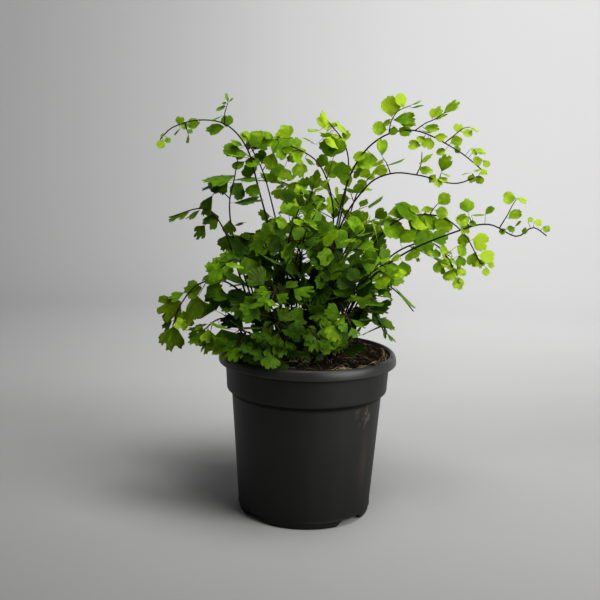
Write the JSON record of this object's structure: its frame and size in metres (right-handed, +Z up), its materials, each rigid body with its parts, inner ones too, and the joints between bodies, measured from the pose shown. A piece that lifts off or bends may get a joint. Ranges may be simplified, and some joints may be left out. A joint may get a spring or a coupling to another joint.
{
  "type": "potted fern",
  "caption": "Maidenhair fern with wiry stalks and fan-shaped leaflets in a round tapered plastic nursery pot filled with soil.",
  "frame": {"origin": "middle of the pot's flat underside, on the pot's axis", "axes": "+Z up along the pot's axis, +X to the right as seen from the front, where the low leafy side overhangs the rim, +Y away from the front"},
  "size_m": [0.259, 0.1924, 0.282],
  "materials": {
    "pot_plastic": "satin, charcoal",
    "potting_soil": "matte, dark crumbly peat and fibre",
    "fern_leaf": "soft satin green, thin and translucent",
    "fern_stalk": "satin, near-black red-brown"
  },
  "bodies": {
    "root": {"pot": "pot_plastic", "soil": "potting_soil", "frond_high_left": "fern_leaf", "frond_upper_left": "fern_leaf", "frond_crown_left": "fern_leaf", "frond_high_right": "fern_leaf", "frond_crown_top": "fern_leaf", "frond_arch_right": "fern_leaf", "frond_long_right": "fern_leaf", "frond_droop_right": "fern_leaf", "frond_mid_right": "fern_leaf", "frond_low_right": "fern_leaf", "frond_spray_right": "fern_leaf", "frond_fork_right": "fern_leaf", "frond_mid_left": "fern_leaf", "frond_reach_left": "fern_leaf", "frond_droop_left": "fern_leaf", "frond_olive_left": "fern_leaf", "frond_rim_left": "fern_leaf", "frond_front_left": "fern_leaf", "frond_front_young": "fern_leaf", "frond_front_right": "fern_leaf", "frond_base_left": "fern_leaf", "frond_base_mid": "fern_leaf", "frond_front_rim": "fern_leaf", "frond_middle_a": "fern_leaf", "frond_middle_b": "fern_leaf", "frond_middle_c": "fern_leaf", "frond_middle_d": "fern_leaf", "frond_middle_e": "fern_leaf", "frond_front_mid": "fern_leaf", "frond_front_side": "fern_leaf", "frond_back_high": "fern_leaf", "frond_back_right": "fern_leaf", "frond_back_left": "fern_leaf", "frond_back_long": "fern_leaf", "frond_back_low": "fern_leaf", "frond_back_side": "fern_leaf", "frond_back_mid": "fern_leaf"}
  },
  "joints": []
}
